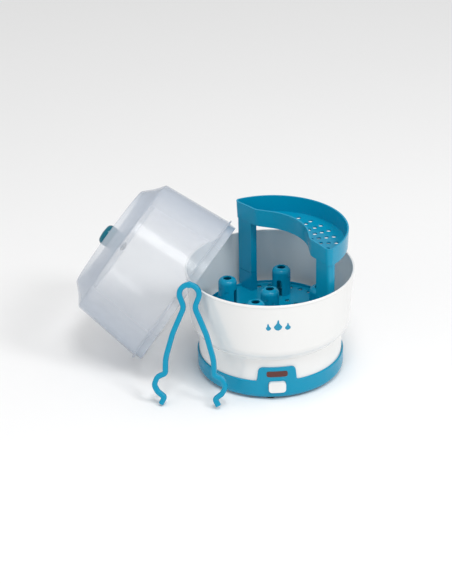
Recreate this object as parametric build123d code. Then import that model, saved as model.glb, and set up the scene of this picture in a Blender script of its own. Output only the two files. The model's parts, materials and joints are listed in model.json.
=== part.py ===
from build123d import *
import os
from math import cos, hypot, radians, sin, sqrt

# Electric steam bottle sterilizer, in millimetres. The origin is on the table under the middle of
# the bowl, +Z is up, and the control panel faces -Y. The lid is off, leaning against the bowl and
# its own fittings, and the tongs stand in front with their bow against the rim.

# ---- common allowances -------------------------------------------------------------------------
FIT_GAP = 0.3  # between a loose piece and what it slides in
SEAT_GAP = 0.2  # between two mouldings screwed together
SCREW_CORE = 1.45  # thread radius of the small self-tapping screws
SCREW_HOLE = 1.5  # pilot radius
SCREW_PASS = 1.75  # clearance radius in the piece that is clamped
SCREW_HEAD = 3.2  # head radius
HEAD_HEIGHT = 1.1

# ---- bowl --------------------------------------------------------------------------------------
RIM_RADIUS = 119.3
RIM_HEIGHT = 156.0
WALL = 2.2
WAIST_RADIUS = 101.6  # lower band of the bowl
CREASE_HEIGHT = 62.7  # where the band meets the flared upper part
FLARE_WIDTH = 10.9  # how far the flare stands out above the crease
FLARE_RISE = 13.3
FLARE_ROUND = 18.0
LIP_HEIGHT = 4.0
SKIRT_BOTTOM = 12.0  # lower edge of the band, inside the base ring
FLOOR_HEIGHT = 49.0  # top of the bowl floor beside the heating plate
FLOOR_DISH = 60.0  # radius of the hole for the heating plate
FLOOR_FLAT = 76.0  # radius where the floor starts to slope up
FLOOR_RISE = 7.0

# ---- base --------------------------------------------------------------------------------------
RING_WALL = 2.4
RING_TOP = 29.2
RING_BOTTOM = 2.0
RING_ROUND = 8.0
FLANGE_WIDE = 19.6  # the ring's bottom flange, inwards from the bowl's waist
FLANGE_RADIUS = WAIST_RADIUS - FLANGE_WIDE
FLANGE_THICK = 2.4
COVER_THICK = 2.2
BOSS_RADIUS = 4.0
BOSS_EDGE = 11.6  # screw bosses, inwards from the bowl's waist
BOSS_CIRCLE = WAIST_RADIUS - BOSS_EDGE
BOSS_DEPTH = 14.0
FOOT_EDGE = 10.6  # feet, inwards from the bowl's waist
FOOT_CIRCLE = WAIST_RADIUS - FOOT_EDGE
FOOT_RADIUS = 8.0
FOOT_STEM = 2.4
CORNER_ANGLES = (45, 135, 225, 315)
FOOT_ANGLES = (0, 90, 180, 270)

# ---- control panel -----------------------------------------------------------------------------
PANEL_ANGLE = 5.1  # degrees from the front towards +X
PANEL_TOP = 51.5
PANEL_HALF = 25.5
PANEL_FOOT_HALF = 28.0
PANEL_CORNER = 7.0
PANEL_FLARE = 4.0
WINDOW_WIDTH = 29.5
WINDOW_TALL = 9.0
WINDOW_HEIGHT = 41.6
WINDOW_CORNER = 3.0
BUTTON_WIDTH = 24.0
BUTTON_TALL = 16.0
BUTTON_HEIGHT = 22.0
BUTTON_CORNER = 4.5
BUTTON_PROUD = 4.2
BUTTON_TRAVEL = 2.5
SWITCH_WIDTH = 20.0
SWITCH_TALL = 14.0
SWITCH_DEEP = 15.0
PLUNGER = 3.6

# ---- heater ------------------------------------------------------------------------------------
PLATE_THICK = 1.0
PLATE_RAISE = 3.3
PLATE_EDGE = 7.5  # width of the flange under the bowl floor
SEAL_THICK = 1.5
RETAINER_THICK = 1.2
RETAINER_EDGE = 76.0
RETAINER_CIRCLE = 72.0
ELEMENT_RADIUS = 34.0
ELEMENT_TUBE = 3.3
ELEMENT_GAP_ANGLE = 60.0
STUD_RADIUS = 2.4
STUD_DROP = 14.0
CLAMP_THICK = 1.5
CLAMP_LONG = 84.0
CLAMP_WIDE = 13.0
NUT_HEIGHT = 4.0
NUT_RADIUS = 4.6
THERMOSTAT_RADIUS = 8.0
SENSOR_OFFSET = 20.0  # thermostat and fuse, either side of the clamp
GLAND_RADIUS = 5.0
GLAND_BORE = 3.3
GLAND_HEIGHT = 20.0

# ---- bottle rack -------------------------------------------------------------------------------
RACK_CLEARANCE = 0.9  # to the inside of the bowl's waist
RACK_RADIUS = WAIST_RADIUS - WALL - RACK_CLEARANCE
RACK_RISE = 30.6  # upper face of the plate above the bowl floor
RACK_TOP = FLOOR_HEIGHT + RACK_RISE
RACK_THICK = 2.4
RACK_RIM = 4.2
RACK_RIM_THICK = 2.0
RACK_FOOT_ANGLES = (20, 80, 140, 200, 260, 320)
RACK_FOOT_WIDE = 22.0
PEG_RADIUS = 13.3
PEG_WALL = 2.0
PEG_TALL = 41.4  # above the plate
PEG_TOP = RACK_TOP + PEG_TALL
PEG_ROUND = 7.0
PEG_HOLE = 6.0
PEG_WINDOW = 7.5
PEG_WINDOW_TALL = 22.4
PEG_WINDOW_TOP = RACK_TOP + PEG_WINDOW_TALL
PEG_DOT = 1.2  # small steam holes in the side of a peg
PEG_DOTS = ((65, 13.0), (115, 18.0), (245, 13.0), (295, 18.0))  # angle, and depth below the top
PEG_EDGE = 29.5  # middle of the outer pegs, inwards from the rack's edge
PEG_CIRCLE = RACK_RADIUS - PEG_EDGE
PEG_ANGLES = (4, 76, 151, 284)
PEG_FRONT = (-20.0, -39.0)
PLATE_HOLE = 3.4
PLATE_HOLE_EDGE = 10.5  # outer row of holes, inwards from the rack's edge
PLATE_HOLE_ROWS = ((RACK_RADIUS - PLATE_HOLE_EDGE, 36), (49.0, 18), (30.0, 10))

# ---- accessory tray and its legs ---------------------------------------------------------------
TRAY_TURN = 38.5  # direction of the crescent's middle
TRAY_INSET = 12.5  # tray's edge inside the bowl's rim
TRAY_RADIUS = RIM_RADIUS - TRAY_INSET
TRAY_SHIFT = 4.7
TRAY_RISE = 59.0  # tray's top above the bowl's rim
TRAY_TOP = RIM_HEIGHT + TRAY_RISE
TRAY_DEEP = 26.0
TRAY_WALL = 2.2
TRAY_FLOOR = 2.2
TRAY_DRAFT = 2.5
ARCH_DEEP = 46.8  # inner wall at the middle
ARCH_HALF = 38.0
ARCH_SIDE = 37.0
LOBE_SIDE = (22.8, 60.0)
LOBE_END = (17.5, 120.0)
LOBE_ROUND = 7.0
LOBE_BEND = 16.0  # rounding where a lobe leaves the arch
ARCH_BEND = 9.0
TRAY_HOLE = 3.5
TRAY_HOLE_ROWS = (60.0, 71.0, 82.0, 93.0)
TRAY_HOLE_STEP = 12.4
LEG_EDGE = 5.3  # a leg's outer face, inwards from the tray's radius
LEG_WIDE = 29.0
LEG_SPAN = (TRAY_RADIUS - LEG_EDGE - LEG_WIDE, TRAY_RADIUS - LEG_EDGE)
LEG_DEEP = 34.0
LEG_WALL = 2.0
LEG_SETBACK = 2.2  # leg inside the tray's outline
SEAM_RISE = 28.4  # joint of leg and socket above the rack's plate
SEAM_HEIGHT = RACK_TOP + SEAM_RISE
SPIGOT_DROP = 20.0
SEAM_GAP = 0.7
TENON = (6.0, 10.0, 1.6)

# ---- lid ---------------------------------------------------------------------------------------
LID_FLANGE = RIM_RADIUS + 1.4
LID_WALL = 1.8
LID_SKIRT = 10.0
LID_PLUG_GAP = 0.6  # skirt to the inside of the bowl lip
LID_FLANGE_THICK = 2.4
SHOULDER_HEIGHT = 104.7
SHOULDER_TAPER = 9.8
CROWN_HEIGHT = 128.3
CROWN_RADIUS = 80.0
CROWN_RIM = 3.0
RECESS_HEIGHT = 105.8
RECESS_RADIUS = 91.0
KNOB_BASE = 34.0
KNOB_TOP = 15.5
KNOB_HEIGHT = 34.0
LID_LEAN = 32.6  # axis above the horizontal
LID_HEADING = 162.8  # compass angle of the lid's axis, from +X towards +Y
LID_PLACE = 164.0  # compass angle from the bowl to the lid
LID_GAP = 1.72  # smallest gap from the lid's edges to the bowl

# ---- tongs -------------------------------------------------------------------------------------
BAR_WIDE = 7.4
BAR_DEEP = 9.0
BAR_ROUND = 2.6
TONGS_LENGTH = 171.4
TONGS_LEAN = 14.9
TONGS_TILT = 1.3
TONGS_PLACE = 215.0  # compass angle from the bowl to the bow
TONGS_STANDOFF = 10.6  # bow to the bowl rim
TONGS_HEADING = 7.5  # turn of the tongs' plane about the vertical
BOW_RADIUS = 13.7
KNUCKLE_GAP = 0.35
TIP_CUT = 0.7  # how far a tip's slanted end reaches below the arm line's own end
ARM_LINE = (  # half width, height and rounding down one arm, from the neck to the tip
    (7.4, 139.6, 14.0),
    (23.4, 102.0, 60.0),
    (33.8, 65.2, 60.0),
    (34.0, 44.8, 3.5),
    (45.5, 39.2, 9.0),
    (50.0, 27.5, 9.0),
    (45.0, 18.3, 9.0),
    (35.4, 10.6, 3.0),
    (40.2, 1.0, 0.0),
)


# ---- helpers -----------------------------------------------------------------------------------
def corners(*points):
    """Face inside the outline through (x, y) or (x, y, radius) corners."""
    places = [(point[0], point[1]) for point in points]
    radii = [point[2] if len(point) > 2 else 0 for point in points]
    return make_face(FilletPolyline(*places, radius=radii, close=True))


def turned(*points):
    """Solid of revolution about Z from (radius, height) or (radius, height, rounding) corners."""
    return revolve(Plane.XZ * corners(*points), Axis.Z)


def tube(outer, inner, low, high):
    return turned((inner, low), (outer, low), (outer, high), (inner, high))


def rod(radius, low, high, x=0.0, y=0.0):
    return Pos(x, y, (low + high) / 2) * Cylinder(radius, high - low)


def around(radius, angle):
    return radius * cos(radians(angle)), radius * sin(radians(angle))


def front_patch(wide, tall, corner, height, inner, outer):
    """Rounded rectangle on the front of a cylinder, between two radii."""
    sheet = Plane.XZ * Pos(0, height) * RectangleRounded(wide, tall, corner)
    return extrude(sheet, outer * 1.5) & tube(outer, inner, height - tall, height + tall)


def at_panel(shape):
    return Rot(0, 0, PANEL_ANGLE) * shape


# ---- bowl --------------------------------------------------------------------------------------
def bowl_wall_radius(height):
    """Outside radius of the flared part of the bowl above its flare."""
    low = CREASE_HEIGHT + FLARE_RISE
    share = (height - low) / (RIM_HEIGHT - LIP_HEIGHT - low)
    return WAIST_RADIUS + FLARE_WIDTH + share * (RIM_RADIUS - 0.8 - WAIST_RADIUS - FLARE_WIDTH)


def floor_slope(radius):
    """Height of the bowl floor's upper face."""
    share = max(0.0, radius - FLOOR_FLAT) / (WAIST_RADIUS - WALL - FLOOR_FLAT)
    return FLOOR_HEIGHT + FLOOR_RISE * share


def bowl_body():
    inner_waist = WAIST_RADIUS - WALL
    flare = WAIST_RADIUS + FLARE_WIDTH
    flare_height = CREASE_HEIGHT + FLARE_RISE
    lip_radius = bowl_wall_radius(RIM_HEIGHT - LIP_HEIGHT)
    shell = turned(
        (WAIST_RADIUS, SKIRT_BOTTOM),
        (WAIST_RADIUS, CREASE_HEIGHT),
        (flare, flare_height, FLARE_ROUND),
        (lip_radius, RIM_HEIGHT - LIP_HEIGHT),
        (RIM_RADIUS, RIM_HEIGHT - LIP_HEIGHT + 0.8, 0.6),
        (RIM_RADIUS, RIM_HEIGHT, 1.2),
        (lip_radius - WALL, RIM_HEIGHT, 0.9),
        (flare - WALL, flare_height + 1.0, FLARE_ROUND + WALL),
        (inner_waist, CREASE_HEIGHT + 1.2, 2.0),
        (inner_waist, floor_slope(inner_waist), 3.0),
        (FLOOR_FLAT, FLOOR_HEIGHT),
        (FLOOR_DISH, FLOOR_HEIGHT, 0.8),
        (FLOOR_DISH, FLOOR_HEIGHT - WALL),
        (FLOOR_FLAT, FLOOR_HEIGHT - WALL),
        (inner_waist, floor_slope(inner_waist) - WALL),
        (inner_waist, SKIRT_BOTTOM),
    )
    for angle in CORNER_ANGLES:
        x, y = around(BOSS_CIRCLE, angle)
        boss_low = RING_BOTTOM + FLANGE_THICK + COVER_THICK
        shell += rod(BOSS_RADIUS, boss_low, floor_slope(BOSS_CIRCLE) - WALL / 2, x, y)
        shell -= rod(SCREW_HOLE, boss_low, boss_low + BOSS_DEPTH, x, y)
    seat_low = FLOOR_HEIGHT - WALL - SEAL_THICK - PLATE_THICK
    for angle in FOOT_ANGLES:
        x, y = around(RETAINER_CIRCLE, angle)
        shell += rod(BOSS_RADIUS - 0.6, seat_low, FLOOR_HEIGHT - WALL / 2, x, y)
        shell -= rod(SCREW_HOLE, seat_low, FLOOR_HEIGHT - 0.9, x, y)
    opening = Pos(0, -WAIST_RADIUS, (SKIRT_BOTTOM + PANEL_TOP) / 2 - 3)
    shell -= at_panel(opening * Box(WINDOW_WIDTH + 7, 20, PANEL_TOP - SKIRT_BOTTOM))
    shell -= Pos(0, WAIST_RADIUS, GLAND_HEIGHT) * Rot(90, 0, 0) * Cylinder(GLAND_RADIUS + 0.1, 12)
    return shell


# ---- base --------------------------------------------------------------------------------------
def panel_outline():
    """Front view of the raised panel, from the ring's middle height up."""
    low = RING_TOP - 8
    return corners(
        (-PANEL_FOOT_HALF - 9, low),
        (PANEL_FOOT_HALF + 9, low),
        (PANEL_FOOT_HALF + 9, RING_TOP - 0.4),
        (PANEL_FOOT_HALF, RING_TOP - 0.4, PANEL_FLARE),
        (PANEL_HALF, PANEL_TOP, PANEL_CORNER),
        (-PANEL_HALF, PANEL_TOP, PANEL_CORNER),
        (-PANEL_FOOT_HALF, RING_TOP - 0.4, PANEL_FLARE),
        (-PANEL_FOOT_HALF - 9, RING_TOP - 0.4),
    )


def base_ring():
    inner = WAIST_RADIUS + SEAT_GAP
    outer = inner + RING_WALL
    top = RING_BOTTOM + FLANGE_THICK
    ring = turned(
        (FLANGE_RADIUS, RING_BOTTOM),
        (outer, RING_BOTTOM, RING_ROUND),
        (outer, RING_TOP, 1.2),
        (inner, RING_TOP),
        (inner, top, RING_ROUND - RING_WALL),
        (FLANGE_RADIUS, top),
    )
    sheet = extrude(Plane.XZ * panel_outline(), outer * 1.5)
    ring += at_panel(sheet & tube(outer, inner, RING_TOP - 9, PANEL_TOP + 2))
    window = front_patch(WINDOW_WIDTH, WINDOW_TALL, WINDOW_CORNER, WINDOW_HEIGHT, inner - 3, outer + 3)
    hole_wide = BUTTON_WIDTH + 2 * FIT_GAP
    hole_tall = BUTTON_TALL + 2 * FIT_GAP
    button = front_patch(hole_wide, hole_tall, BUTTON_CORNER, BUTTON_HEIGHT, inner - 3, outer + 3)
    ring -= at_panel(window + button)
    for angle in CORNER_ANGLES:
        x, y = around(BOSS_CIRCLE, angle)
        ring -= rod(SCREW_PASS, RING_BOTTOM, top, x, y)
        ring -= rod(SCREW_HEAD + 0.3, RING_BOTTOM, RING_BOTTOM + HEAD_HEIGHT + 0.1, x, y)
    for angle in FOOT_ANGLES:
        ring -= rod(FOOT_STEM + 0.1, RING_BOTTOM, top, *around(FOOT_CIRCLE, angle))
    bore = Cylinder(GLAND_RADIUS + 0.1, 12)
    return ring - Pos(0, outer, GLAND_HEIGHT) * Rot(90, 0, 0) * bore


def bottom_cover():
    low = RING_BOTTOM + FLANGE_THICK
    edge = WAIST_RADIUS + SEAT_GAP - RING_ROUND + RING_WALL
    cover = rod(edge, low, low + COVER_THICK)
    for angle in CORNER_ANGLES:
        cover -= rod(SCREW_PASS, low, low + COVER_THICK, *around(BOSS_CIRCLE, angle))
    for angle in FOOT_ANGLES:
        cover -= rod(FOOT_STEM + 1.6, low, low + COVER_THICK, *around(FOOT_CIRCLE, angle))
    slot = Box(34, 3, COVER_THICK * 3)
    for row in range(-3, 4):
        cover -= Pos(0, row * 8 - 20, low + COVER_THICK / 2) * slot
    return cover


def rubber_feet():
    feet = []
    top = RING_BOTTOM + FLANGE_THICK
    for angle in FOOT_ANGLES:
        x, y = around(FOOT_CIRCLE, angle)
        foot = Pos(x, y) * turned((0, 0), (FOOT_RADIUS, 0, 0.8), (FOOT_RADIUS, RING_BOTTOM), (0, RING_BOTTOM))
        foot += rod(FOOT_STEM, RING_BOTTOM, top, x, y)
        foot += rod(FOOT_STEM + 1.2, top, top + 1.4, x, y)
        feet.append(foot)
    return feet


def base_screws():
    low = RING_BOTTOM + HEAD_HEIGHT
    screws = []
    for angle in CORNER_ANGLES:
        x, y = around(BOSS_CIRCLE, angle)
        head = rod(SCREW_HEAD, low - HEAD_HEIGHT + 0.1, low + 0.1, x, y)
        head -= Pos(x, y, low - HEAD_HEIGHT) * Box(3.6, 0.8, 1.0)
        head -= Pos(x, y, low - HEAD_HEIGHT) * Box(0.8, 3.6, 1.0)
        screws.append(head + rod(SCREW_CORE, low, low + BOSS_DEPTH, x, y))
    return screws


def cord_gland():
    outer = WAIST_RADIUS + SEAT_GAP + RING_WALL
    body = turned(
        (GLAND_BORE, -7),
        (GLAND_RADIUS + 1.6, -7, 0.6),
        (GLAND_RADIUS + 1.6, -5.2),
        (GLAND_RADIUS, -5.2),
        (GLAND_RADIUS, 0.6),
        (GLAND_RADIUS + 2.4, 0.6),
        (GLAND_RADIUS + 1.8, 4.2, 1.4),
        (GLAND_BORE, 4.2),
    )
    return Pos(0, outer, GLAND_HEIGHT) * Rot(-90, 0, 0) * body


# ---- switch and indicator ----------------------------------------------------------------------
def switch_front():
    """Front face of the switch body, as a distance from the axis."""
    return WAIST_RADIUS - WALL - 5.0


def switch_button():
    outer = WAIST_RADIUS + SEAT_GAP + RING_WALL
    back = outer - RING_WALL - 1.4
    cap = front_patch(BUTTON_WIDTH, BUTTON_TALL, BUTTON_CORNER, BUTTON_HEIGHT, back, outer + BUTTON_PROUD)
    front = Plane.XZ.offset(outer + BUTTON_PROUD - 0.4)
    crown = front * Pos(0, BUTTON_HEIGHT) * RectangleRounded(BUTTON_WIDTH - 6, BUTTON_TALL - 6, 3)
    cap -= extrude(crown, 3)
    reach = back - switch_front() + 7
    stem = Pos(0, -back + reach / 2 - 0.6, BUTTON_HEIGHT) * Box(PLUNGER * 2, reach + 1.2, PLUNGER * 2)
    return at_panel(cap + stem)


def switch_body():
    front = switch_front()
    case = Pos(0, -front + SWITCH_DEEP / 2, BUTTON_HEIGHT) * Box(SWITCH_WIDTH, SWITCH_DEEP, SWITCH_TALL)
    well_deep = 7 + BUTTON_TRAVEL + 1.2
    bore = 2 * (PLUNGER + FIT_GAP)
    well = Box(bore, well_deep, bore)
    case -= Pos(0, -front + well_deep / 2, BUTTON_HEIGHT) * well
    for side in (-1, 1):
        blade = Box(0.8, 7, 5)
        case += Pos(side * 5, -front + SWITCH_DEEP + 3.5, BUTTON_HEIGHT) * blade
        ear = Box(4, 2, SWITCH_TALL)
        case += Pos(side * (SWITCH_WIDTH / 2 + 2), -front + 1, BUTTON_HEIGHT) * ear
    return at_panel(case)


def switch_spring():
    """Return spring round the button's stem, in front of the switch body."""
    outer = WAIST_RADIUS + SEAT_GAP + RING_WALL
    back = outer - RING_WALL - 1.4
    room = back - switch_front() - BUTTON_TRAVEL - 0.4
    wire = 0.35
    path = Helix(pitch=1.3, height=room - 2 * wire, radius=PLUNGER * 1.42 + 1.0)
    coil = sweep(Plane(path @ 0, z_dir=path % 0) * Circle(wire), path=path)
    clear = -back + wire + BUTTON_TRAVEL + 0.2
    return at_panel(Pos(0, clear, BUTTON_HEIGHT) * Rot(-90, 0, 0) * coil)


def indicator_lens():
    inner = WAIST_RADIUS + SEAT_GAP
    front = inner + RING_WALL + 0.3
    back = inner - 1.8
    lens = front_patch(WINDOW_WIDTH - 0.2, WINDOW_TALL - 0.2, WINDOW_CORNER, WINDOW_HEIGHT, back, front)
    lens += front_patch(WINDOW_WIDTH + 5, WINDOW_TALL + 2.4, WINDOW_CORNER, WINDOW_HEIGHT, back, inner - 0.1)
    return at_panel(lens)


def indicator_lamp():
    y = -(WAIST_RADIUS - WALL - 6)
    bulb = Pos(0, y, WINDOW_HEIGHT) * Rot(0, 90, 0) * Cylinder(2.8, 13)
    bulb = fillet(bulb.edges().filter_by(GeomType.CIRCLE), 1.0)
    for side in (-1, 1):
        bulb += Pos(9, y, WINDOW_HEIGHT + side) * Rot(0, 90, 0) * Cylinder(0.3, 6)
    return at_panel(bulb)


# ---- heater ------------------------------------------------------------------------------------
def plate_face():
    """Underside of the middle of the heating plate."""
    return FLOOR_HEIGHT - WALL - SEAL_THICK + PLATE_RAISE - PLATE_THICK


def heating_plate():
    edge = FLOOR_DISH + PLATE_EDGE
    top = FLOOR_HEIGHT - WALL - SEAL_THICK
    plate = turned(
        (0, top + PLATE_RAISE),
        (FLOOR_DISH - 4, top + PLATE_RAISE, 1.6),
        (FLOOR_DISH - 1.8, top, 1.0),
        (edge, top),
        (edge, top - PLATE_THICK),
        (FLOOR_DISH - 2.6, top - PLATE_THICK, 1.6),
        (FLOOR_DISH - 4.8, plate_face(), 1.0),
        (0, plate_face()),
    )
    return plate + rod(STUD_RADIUS, plate_face() - STUD_DROP, plate_face() + 0.5)


def plate_seal():
    top = FLOOR_HEIGHT - WALL
    return tube(FLOOR_DISH + PLATE_EDGE, FLOOR_DISH + 0.6, top - SEAL_THICK, top)


def plate_retainer():
    top = FLOOR_HEIGHT - WALL - SEAL_THICK - PLATE_THICK
    ring = tube(RETAINER_EDGE, FLOOR_DISH + 1, top - RETAINER_THICK, top)
    for angle in FOOT_ANGLES:
        ring -= rod(SCREW_PASS, top - RETAINER_THICK, top, *around(RETAINER_CIRCLE, angle))
    return ring


def retainer_screws():
    seat = FLOOR_HEIGHT - WALL - SEAL_THICK - PLATE_THICK - RETAINER_THICK
    screws = []
    for angle in FOOT_ANGLES:
        x, y = around(RETAINER_CIRCLE, angle)
        head = rod(SCREW_HEAD, seat - HEAD_HEIGHT, seat, x, y)
        screws.append(head + rod(SCREW_CORE, seat - 0.1, FLOOR_HEIGHT - 1.3, x, y))
    return screws


def heating_element():
    height = plate_face() - ELEMENT_TUBE
    section = Plane.XZ * Pos(ELEMENT_RADIUS, height) * Circle(ELEMENT_TUBE)
    loop = revolve(section, Axis.Z, 360 - ELEMENT_GAP_ANGLE)
    loop = Rot(0, 0, ELEMENT_GAP_ANGLE / 2 + 90) * loop
    for side in (-1, 1):
        x, y = around(ELEMENT_RADIUS, 90 + side * (ELEMENT_GAP_ANGLE / 2 + 4))
        loop += rod(1.6, height - 11, height, x, y)
    return loop


def element_clamp():
    top = plate_face() - 2 * ELEMENT_TUBE
    bar = Pos(0, 0, top - CLAMP_THICK / 2) * Box(CLAMP_LONG, CLAMP_WIDE, CLAMP_THICK)
    bar = fillet(bar.edges().filter_by(Axis.Z), 3)
    return bar - rod(STUD_RADIUS + 0.15, top - CLAMP_THICK, top)


def clamp_nut():
    top = plate_face() - 2 * ELEMENT_TUBE - CLAMP_THICK
    blank = extrude(Plane.XY.offset(top - NUT_HEIGHT) * RegularPolygon(NUT_RADIUS, 6), NUT_HEIGHT)
    return blank - rod(STUD_RADIUS + 0.05, top - NUT_HEIGHT, top)


def thermostat():
    top = plate_face()
    body = rod(THERMOSTAT_RADIUS, top - 2.0, top, 0, SENSOR_OFFSET)
    body += rod(THERMOSTAT_RADIUS - 0.5, top - 8.0, top - 2.0, 0, SENSOR_OFFSET)
    for side in (-1, 1):
        body += Pos(side * 4, SENSOR_OFFSET, top - 10.5) * Box(0.8, 5, 5.4)
    return body


def thermal_fuse():
    top = plate_face()
    barrel = Pos(0, -SENSOR_OFFSET, top - 2.3) * Rot(0, 90, 0) * Cylinder(2.2, 12)
    for side in (-1, 1):
        barrel += Pos(side * 8, -SENSOR_OFFSET, top - 2.3) * Rot(0, 90, 0) * Cylinder(0.6, 5)
    return barrel


def fuse_clip():
    """Strap that holds the fuse against the heating plate."""
    top = plate_face()
    strap = Pos(0, -SENSOR_OFFSET, top - 2.6) * Box(6, 7.4, 5.2)
    return strap - Pos(0, -SENSOR_OFFSET, top - 2.3) * Box(6.2, 4.9, 4.8)


def terminal_block():
    low = RING_BOTTOM + FLANGE_THICK + COVER_THICK
    block = Pos(0, 62, low + 6) * Box(30, 15, 12)
    for place in (-10, 0, 10):
        block -= Pos(place, 62, low + 6.5) * Rot(90, 0, 0) * Cylinder(1.9, 20)
        block -= rod(1.7, low + 6.5, low + 13, place, 62)
    return block


def terminal_screws():
    low = RING_BOTTOM + FLANGE_THICK + COVER_THICK
    return [rod(1.6, low + 8.6, low + 11.4, place, 62) for place in (-10, 0, 10)]


def wire(*points, bend=6.0):
    path = FilletPolyline(*points, radius=bend)
    return sweep(Plane(path @ 0, z_dir=path % 0) * Circle(1.1), path=path)


def wiring():
    """Insulated leads between the terminal block, switch, thermostat, element and fuse."""
    low = RING_BOTTOM + FLANGE_THICK + COVER_THICK + 6.5
    element_low = plate_face() - ELEMENT_TUBE - 11
    element_x, element_y = around(ELEMENT_RADIUS, 90 - ELEMENT_GAP_ANGLE / 2 - 4)
    back_x, back_y = around(ELEMENT_RADIUS, 90 + ELEMENT_GAP_ANGLE / 2 + 4)
    blade = switch_front() - SWITCH_DEEP - 7
    turn = radians(PANEL_ANGLE)
    left = (blade * sin(turn) - 5 * cos(turn), -blade * cos(turn) - 5 * sin(turn))
    right = (blade * sin(turn) + 5 * cos(turn), -blade * cos(turn) + 5 * sin(turn))
    return [
        wire((-10, 54.2, low), (-10, 44, low), (-44, 30, low + 3), (-44, -40, low + 3),
             (left[0], left[1] + 18, low + 4), (left[0], left[1] + 0.6, BUTTON_HEIGHT)),
        wire((10, 54.2, low), (10, 42, low), (element_x, element_y - 8, low + 4),
             (element_x, element_y, low + 9), (element_x, element_y, element_low - 0.2), bend=3),
        wire((right[0], right[1] + 0.6, BUTTON_HEIGHT), (right[0], right[1] + 18, BUTTON_HEIGHT),
             (44, -30, 24), (44, -8, 24), (14, 12, 26), (4, SENSOR_OFFSET, 27),
             (4, SENSOR_OFFSET, plate_face() - 13.4), bend=2.5),
        wire((-4, SENSOR_OFFSET, plate_face() - 13.4), (-4, SENSOR_OFFSET, 25), (back_x, back_y, 25),
             (back_x, back_y, element_low - 0.2), bend=2.5),
    ]


# ---- bottle rack -------------------------------------------------------------------------------
def peg_places():
    """Where the pegs stand, and which way their windows face."""
    ring = [around(PEG_CIRCLE, angle) + (angle,) for angle in PEG_ANGLES]
    return [(0.0, 0.0, 0.0), PEG_FRONT + (0.0,)] + ring


def peg_shell():
    """One hollow bottle peg with a domed top, standing on the rack plate at the origin."""
    low = RACK_TOP - RACK_THICK
    peg = turned(
        (0, low), (PEG_RADIUS, low), (PEG_RADIUS, PEG_TOP, PEG_ROUND), (0, PEG_TOP),
    )
    peg -= turned(
        (0, low),
        (PEG_RADIUS - PEG_WALL, low),
        (PEG_RADIUS - PEG_WALL, PEG_TOP - PEG_WALL, PEG_ROUND - PEG_WALL),
        (0, PEG_TOP - PEG_WALL),
    )
    peg -= rod(PEG_HOLE, PEG_TOP - 5, PEG_TOP + 5)
    tall = PEG_WINDOW_TOP - RACK_TOP
    slot = Plane.XZ * Pos(0, RACK_TOP + tall / 2) * Rectangle(PEG_WINDOW, tall)
    slot += Plane.XZ * Pos(0, PEG_WINDOW_TOP) * Circle(PEG_WINDOW / 2)
    peg -= Rot(0, 0, 90) * extrude(slot, PEG_RADIUS * 1.5, both=True)
    for angle, depth in PEG_DOTS:
        x, y = around(PEG_RADIUS, angle)
        peg -= Pos(x, y, PEG_TOP - depth) * Rot(0, 90, angle) * Cylinder(PEG_DOT, 3 * PEG_WALL)
    return peg


def clear_of_fittings(x, y):
    """Whether a plate hole at this place misses every peg and socket."""
    room = PEG_RADIUS + PLATE_HOLE + 1.5
    if any(hypot(x - place[0], y - place[1]) < room for place in peg_places()):
        return False
    turn = radians(-TRAY_TURN)
    along = x * cos(turn) - y * sin(turn)
    across = abs(x * sin(turn) + y * cos(turn))
    edge = PLATE_HOLE + 1.5
    in_socket = LEG_SPAN[0] - edge < across < LEG_SPAN[1] + edge and 8 < along < LEG_DEEP + edge
    return not in_socket


def bottle_rack():
    low = RACK_TOP - RACK_THICK
    rim_top = RACK_TOP + RACK_RIM
    rack = turned(
        (0, low), (RACK_RADIUS, low), (RACK_RADIUS, rim_top, 0.9), (RACK_RADIUS - RACK_RIM_THICK, rim_top, 0.9),
        (RACK_RADIUS - RACK_RIM_THICK - 0.4, RACK_TOP, 1.5), (0, RACK_TOP),
    )
    foot_low = floor_slope(RACK_RADIUS - 4) + 1.0
    skirt = tube(RACK_RADIUS - 2, RACK_RADIUS - 4.4, foot_low, low + 0.5)
    for angle in RACK_FOOT_ANGLES:
        wedge = Pos(RACK_RADIUS, 0, (foot_low + low) / 2) * Box(30, RACK_FOOT_WIDE, low - foot_low + 4)
        rack += skirt & Rot(0, 0, angle) * wedge
    holes = []
    for radius, count in PLATE_HOLE_ROWS:
        for step in range(count):
            x, y = around(radius, step * 360 / count)
            if clear_of_fittings(x, y):
                holes.append(Pos(x, y, low) * Cylinder(PLATE_HOLE, 12))
    peg = peg_shell()
    for x, y, turn in peg_places():
        holes.append(Pos(x, y, low) * Cylinder(PEG_RADIUS - PEG_WALL - 0.6, 12))
    rack -= holes
    for x, y, turn in peg_places():
        rack += Pos(x, y) * Rot(0, 0, turn) * peg
    for side in (-1, 1):
        socket = leg_column(side, 0.0, low, SEAM_HEIGHT)
        socket -= leg_column(side, LEG_WALL, RACK_TOP, SEAM_HEIGHT + 1)
        rack += socket
    return rack


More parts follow.
